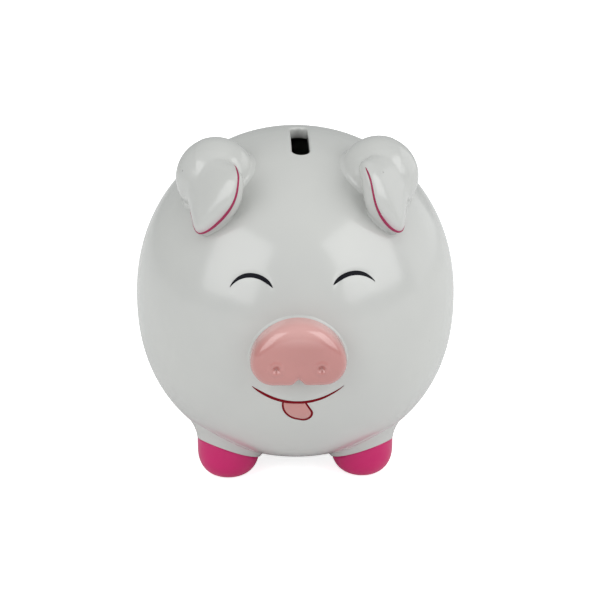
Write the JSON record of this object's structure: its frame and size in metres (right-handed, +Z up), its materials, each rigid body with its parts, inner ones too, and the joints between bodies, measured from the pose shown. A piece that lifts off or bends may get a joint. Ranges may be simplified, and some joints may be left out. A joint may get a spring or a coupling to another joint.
{
  "type": "money box",
  "caption": "Glazed ceramic pig money box with a coin slot in the head and a soft push-in stopper in the belly.",
  "frame": {"origin": "on the table, under the middle of the whole pig's length and width", "axes": "+Z up, the pig looks along -Y, so +X is the pig's left"},
  "size_m": [0.13, 0.1546, 0.1395],
  "materials": {
    "white_glaze": "gloss",
    "pink_glaze": "gloss",
    "magenta_glaze": "gloss",
    "red_enamel": "gloss",
    "dark_enamel": "gloss",
    "stopper_rubber": "satin"
  },
  "bodies": {
    "bank": {"shell": "white_glaze", "snout": "pink_glaze", "ear_left": "white_glaze", "ear_right": "white_glaze", "ear_line_left": "magenta_glaze", "ear_line_right": "magenta_glaze", "eye_line_left": "dark_enamel", "eye_line_right": "dark_enamel", "mouth_line": "red_enamel", "tongue": "pink_glaze", "leg_front_left": "white_glaze", "leg_front_right": "white_glaze", "leg_rear_left": "white_glaze", "leg_rear_right": "white_glaze", "hoof_front_left": "magenta_glaze", "hoof_front_right": "magenta_glaze", "hoof_rear_left": "magenta_glaze", "hoof_rear_right": "magenta_glaze", "tail": "white_glaze"},
    "stopper": {"stopper": "stopper_rubber"}
  },
  "joints": [
    {"name": "stopper_pull", "type": "slide", "parent": "bank", "child": "stopper", "axis": [0, 0, -1], "range_m": [0, 0.0062]}
  ]
}
